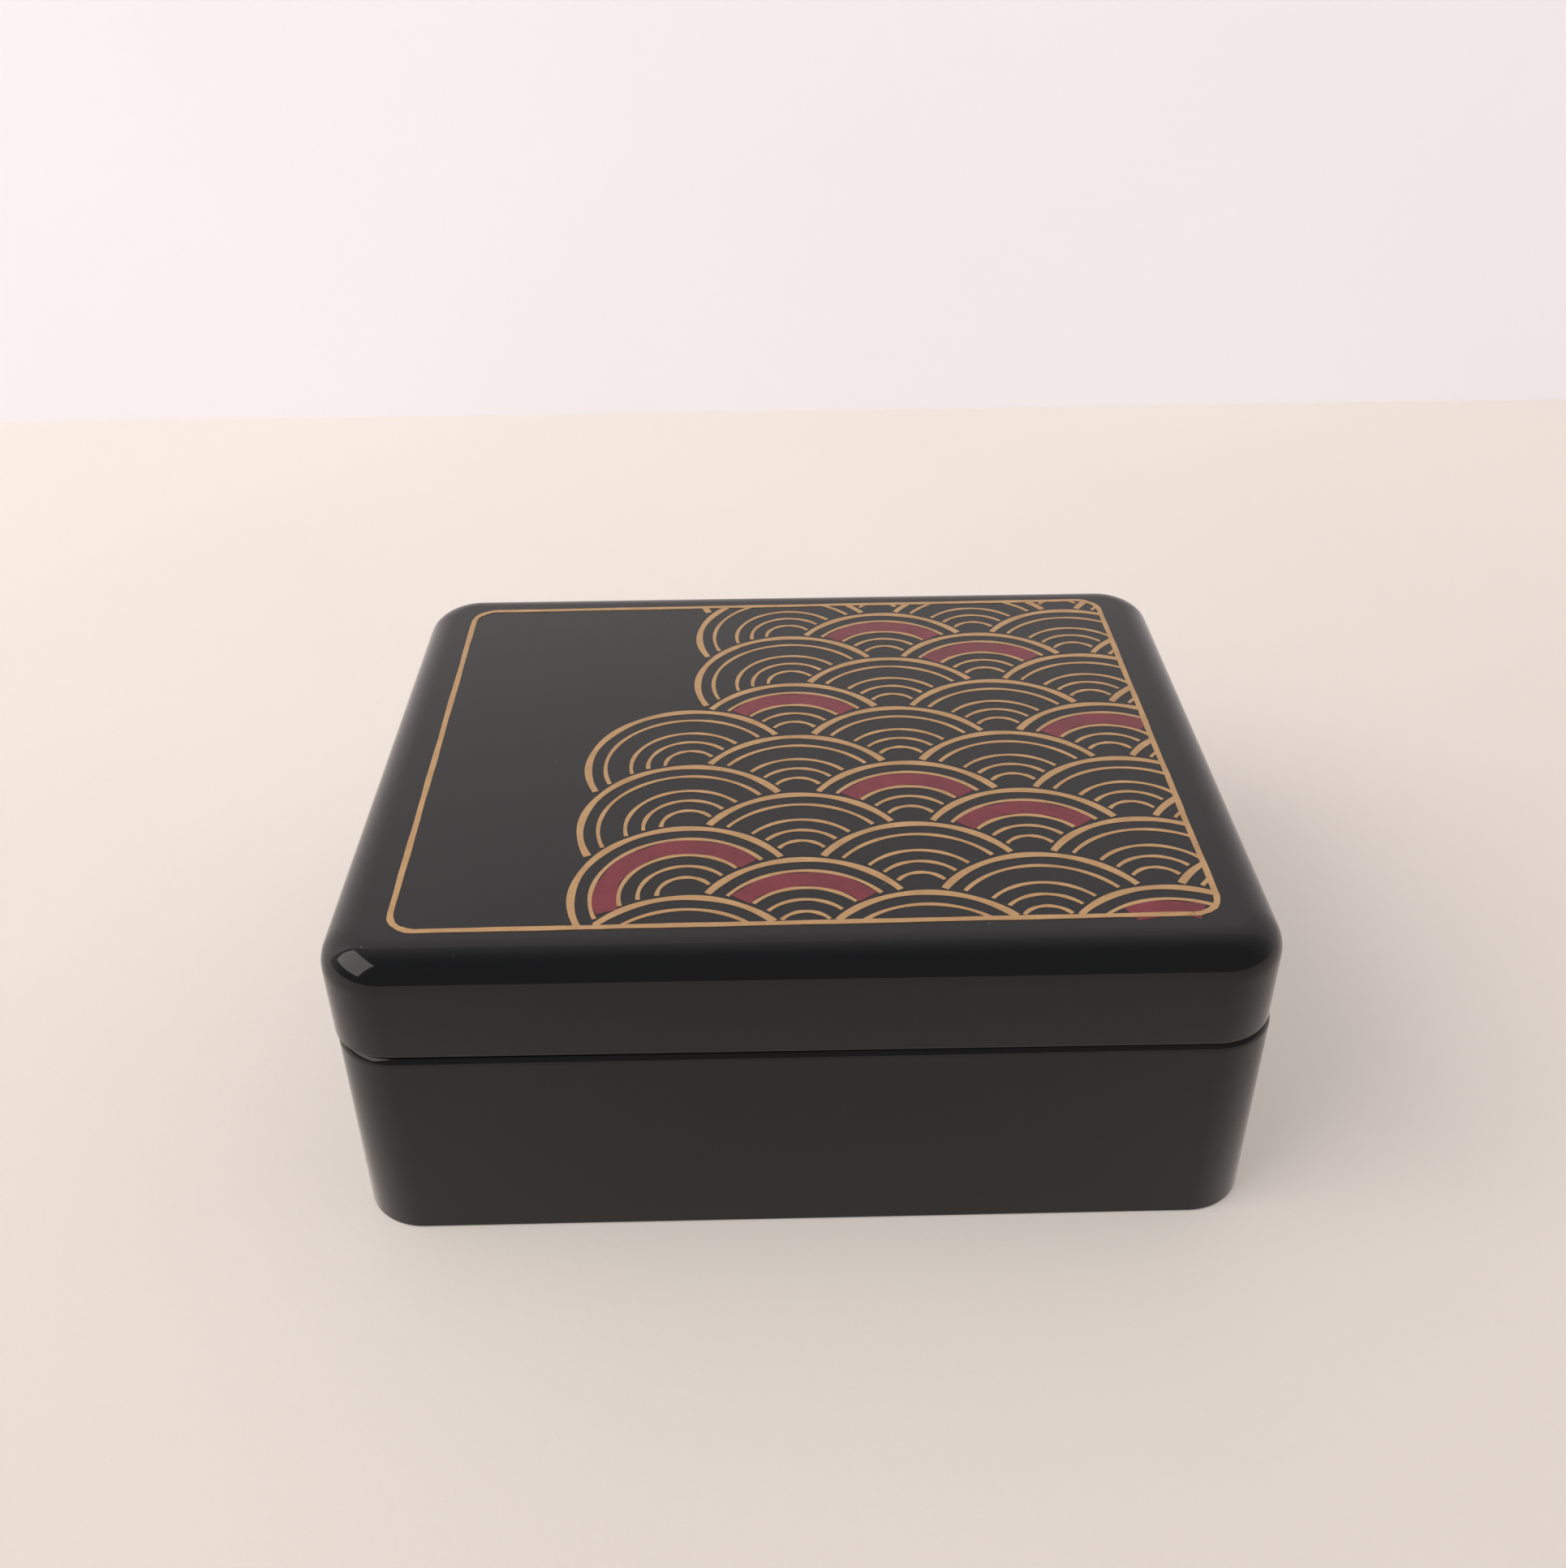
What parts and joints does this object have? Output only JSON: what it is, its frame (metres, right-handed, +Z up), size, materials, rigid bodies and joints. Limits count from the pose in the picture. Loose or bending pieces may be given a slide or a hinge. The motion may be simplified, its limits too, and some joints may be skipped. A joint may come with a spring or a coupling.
{
  "type": "trinket box",
  "caption": "Small rectangular lacquered wooden box with rounded corners, a flush lift-off lid with a large round-over, an inner rim and a soft floor lining.",
  "frame": {"origin": "centre of the underside, on the surface that the box stands on", "axes": "+X along the long side, towards the right; +Y towards the back; +Z up, the way the lid lifts"},
  "size_m": [0.12, 0.098, 0.0455],
  "materials": {
    "lacquered_wood": "high-gloss black lacquer",
    "lining_fabric": "short-pile velvet, matt"
  },
  "bodies": {
    "base": {"base_front_board": "lacquered_wood", "base_back_board": "lacquered_wood", "base_left_board": "lacquered_wood", "base_right_board": "lacquered_wood", "base_floor_panel": "lacquered_wood", "rim_front_strip": "lacquered_wood", "rim_back_strip": "lacquered_wood", "rim_left_strip": "lacquered_wood", "rim_right_strip": "lacquered_wood", "floor_lining": "lining_fabric"},
    "lid": {"lid_front_board": "lacquered_wood", "lid_back_board": "lacquered_wood", "lid_left_board": "lacquered_wood", "lid_right_board": "lacquered_wood", "lid_top_panel": "lacquered_wood"}
  },
  "joints": [
    {"name": "lid_lift", "type": "slide", "parent": "base", "child": "lid", "axis": [0, 0, 1], "range_m": [0, 0.06]}
  ]
}
